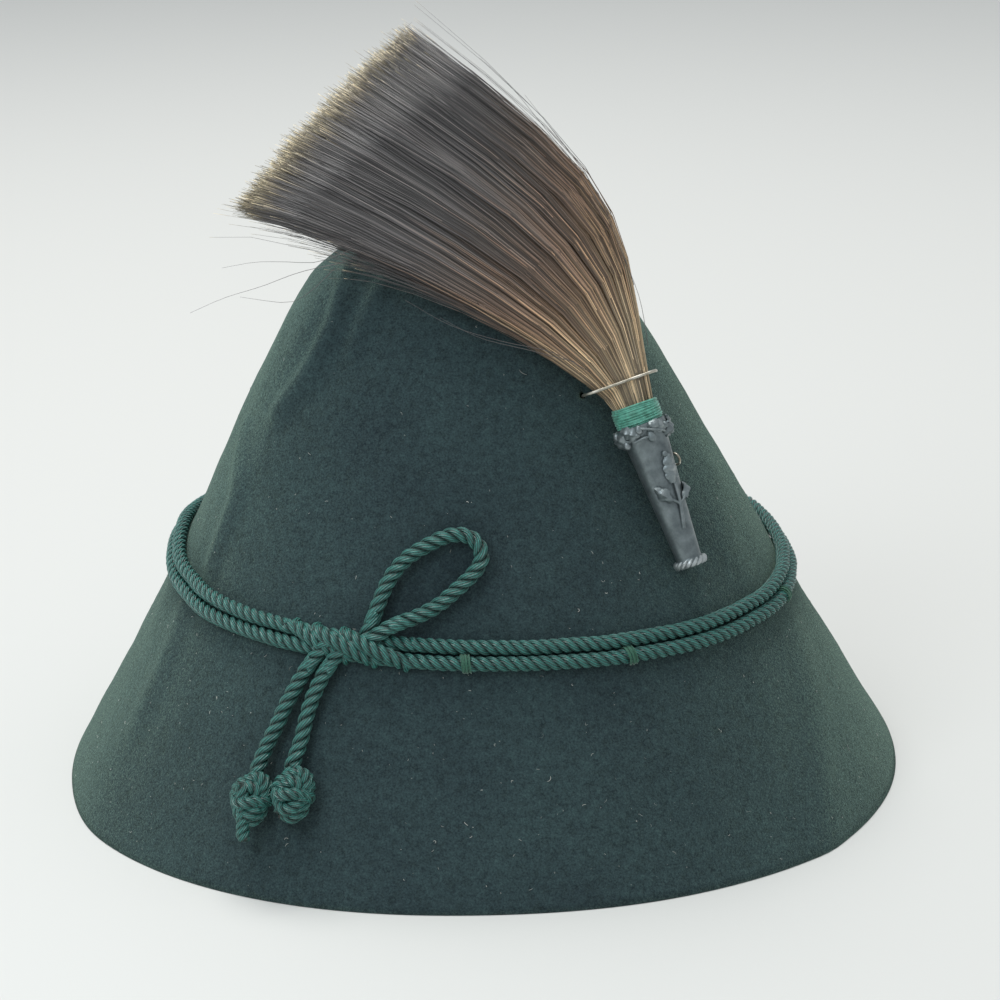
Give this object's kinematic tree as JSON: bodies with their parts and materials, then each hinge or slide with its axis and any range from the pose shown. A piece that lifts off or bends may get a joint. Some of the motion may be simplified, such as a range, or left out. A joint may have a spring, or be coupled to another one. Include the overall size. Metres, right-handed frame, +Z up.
{
  "type": "tyrolean hat",
  "caption": "Conical green felt hat with a creased crown and a sloping brim, trimmed with a doubled twisted cord in a half bow and a long hair brush in a cast metal holder.",
  "frame": {"origin": "middle of the hem, on the surface the hat stands on", "axes": "+Z up; +X to the back of the hat, along its length; -Y is the side that carries the bow and the brush"},
  "size_m": [0.2756, 0.2444, 0.2425],
  "materials": {
    "felt": "brushed wool felt, matt with a short nap",
    "cord": "twisted viscose cord with a soft sheen",
    "hair": "natural long hair, dark with golden roots and cream tips",
    "wrap_thread": "glossy green thread",
    "pewter": "dark antique pewter, polished on the high spots",
    "wire": "plain steel wire"
  },
  "bodies": {
    "root": {"felt_body": "felt", "cord_turn_upper": "cord", "cord_turn_lower": "cord", "cord_knot": "cord", "bow_loop": "cord", "cord_tail_left": "cord", "cord_tail_right": "cord", "end_knot_left": "cord", "end_knot_right": "cord", "hair_brush": "hair", "thread_wrap": "wrap_thread", "brush_holder": "pewter", "holder_pin": "wire", "wire_staple": "wire"}
  },
  "joints": []
}
